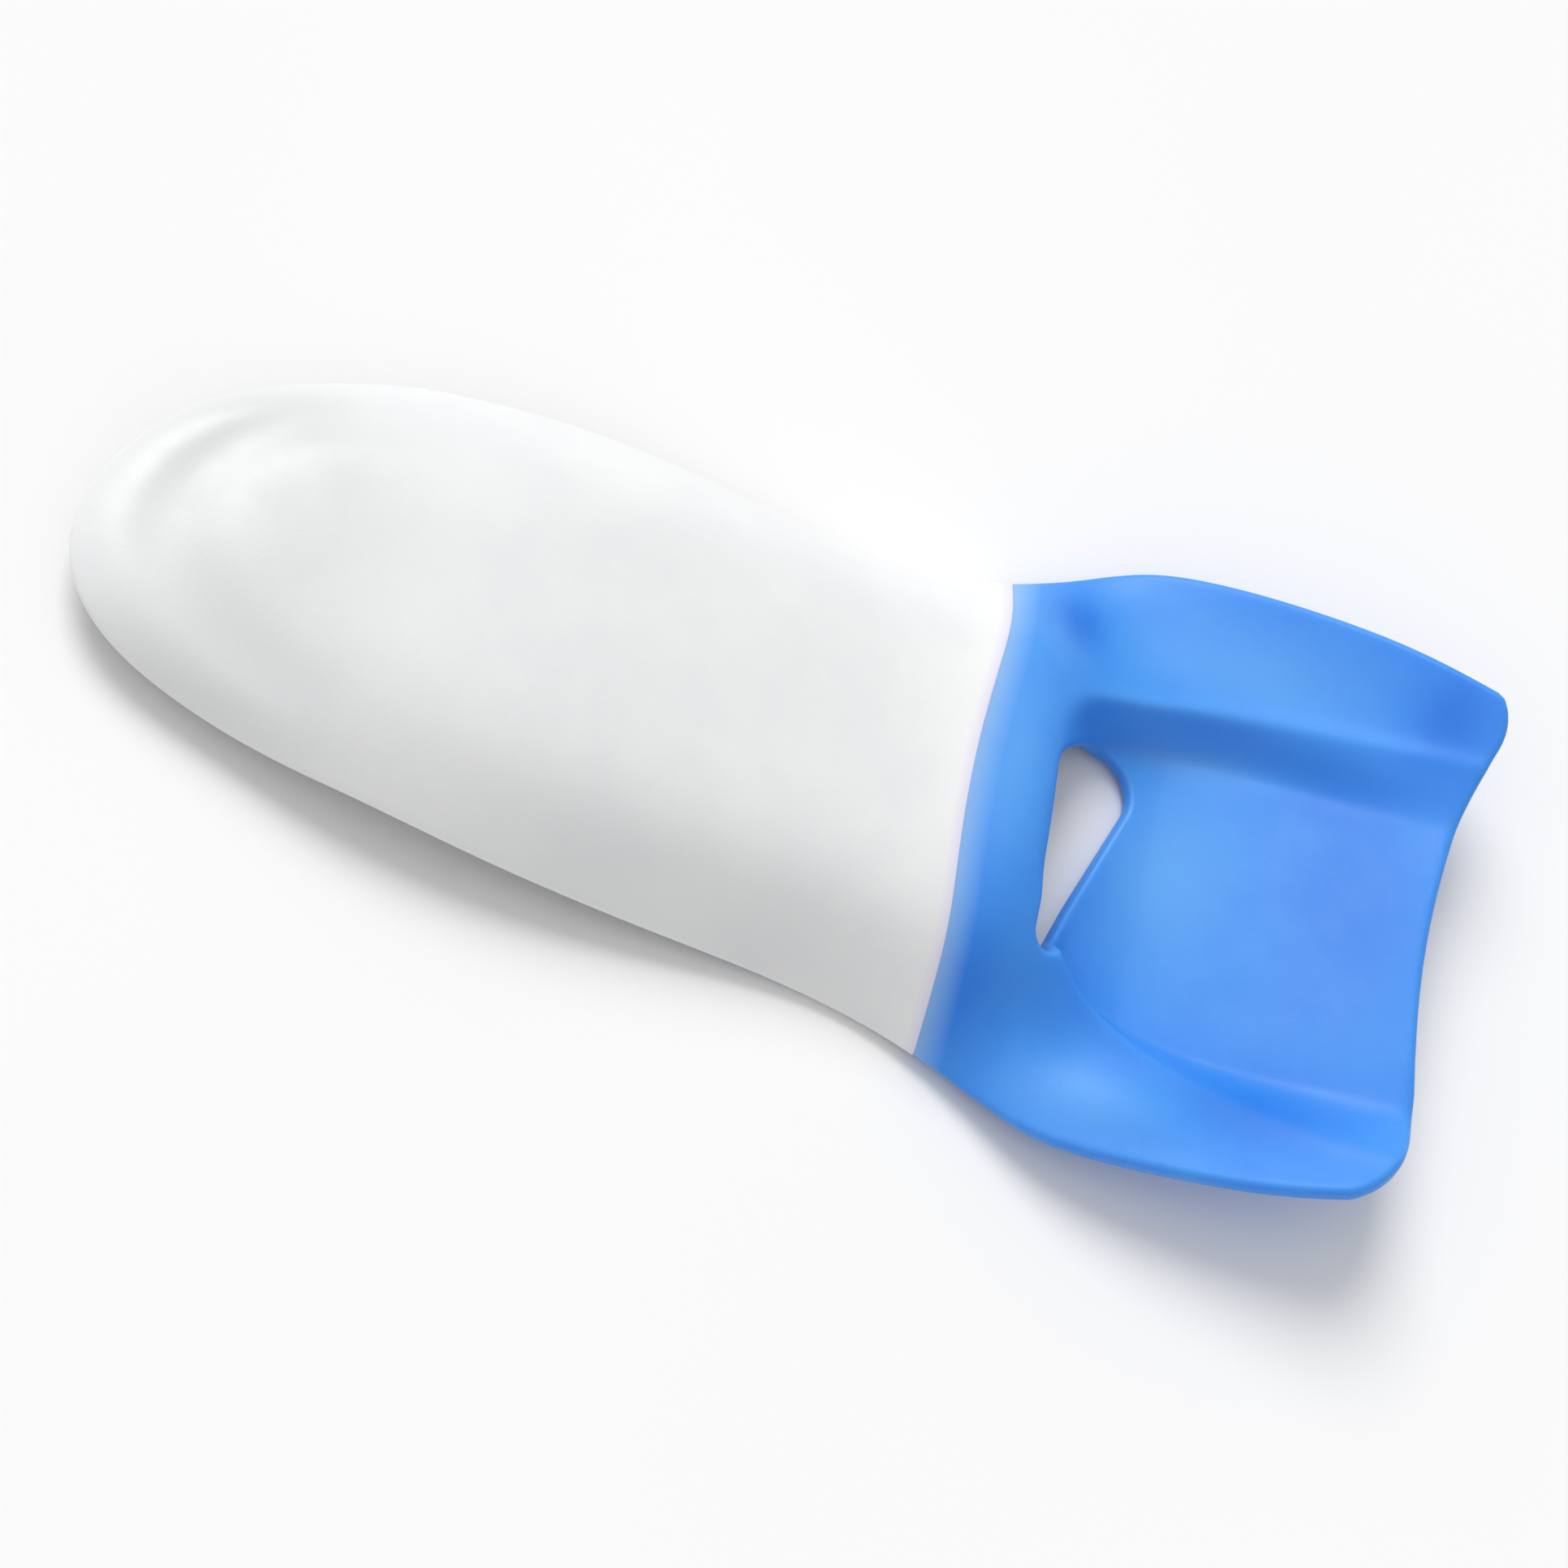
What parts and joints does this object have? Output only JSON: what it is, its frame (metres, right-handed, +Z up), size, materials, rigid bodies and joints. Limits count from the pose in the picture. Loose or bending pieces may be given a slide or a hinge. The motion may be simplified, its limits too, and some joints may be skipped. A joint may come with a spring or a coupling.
{
  "type": "sock aid",
  "caption": "Rounded arched tongue for gathering a sock, fixed to a moulded handle with a finger recess, slot and two wings.",
  "frame": {"origin": "on the surface that the aid lies on, under the middle of its bounding box", "axes": "+X along the aid, from the toe of the tongue to the end of the handle; +Z up, away from the surface, with the hollow side down; +Y across, towards the wide end of the finger slot"},
  "size_m": [0.3164, 0.1404, 0.0319],
  "materials": {
    "tongue_plastic": "satin white moulded plastic, faintly mottled",
    "handle_plastic": "soft-gloss blue moulded plastic"
  },
  "bodies": {
    "root": {"tongue": "tongue_plastic", "handle": "handle_plastic"}
  },
  "joints": []
}
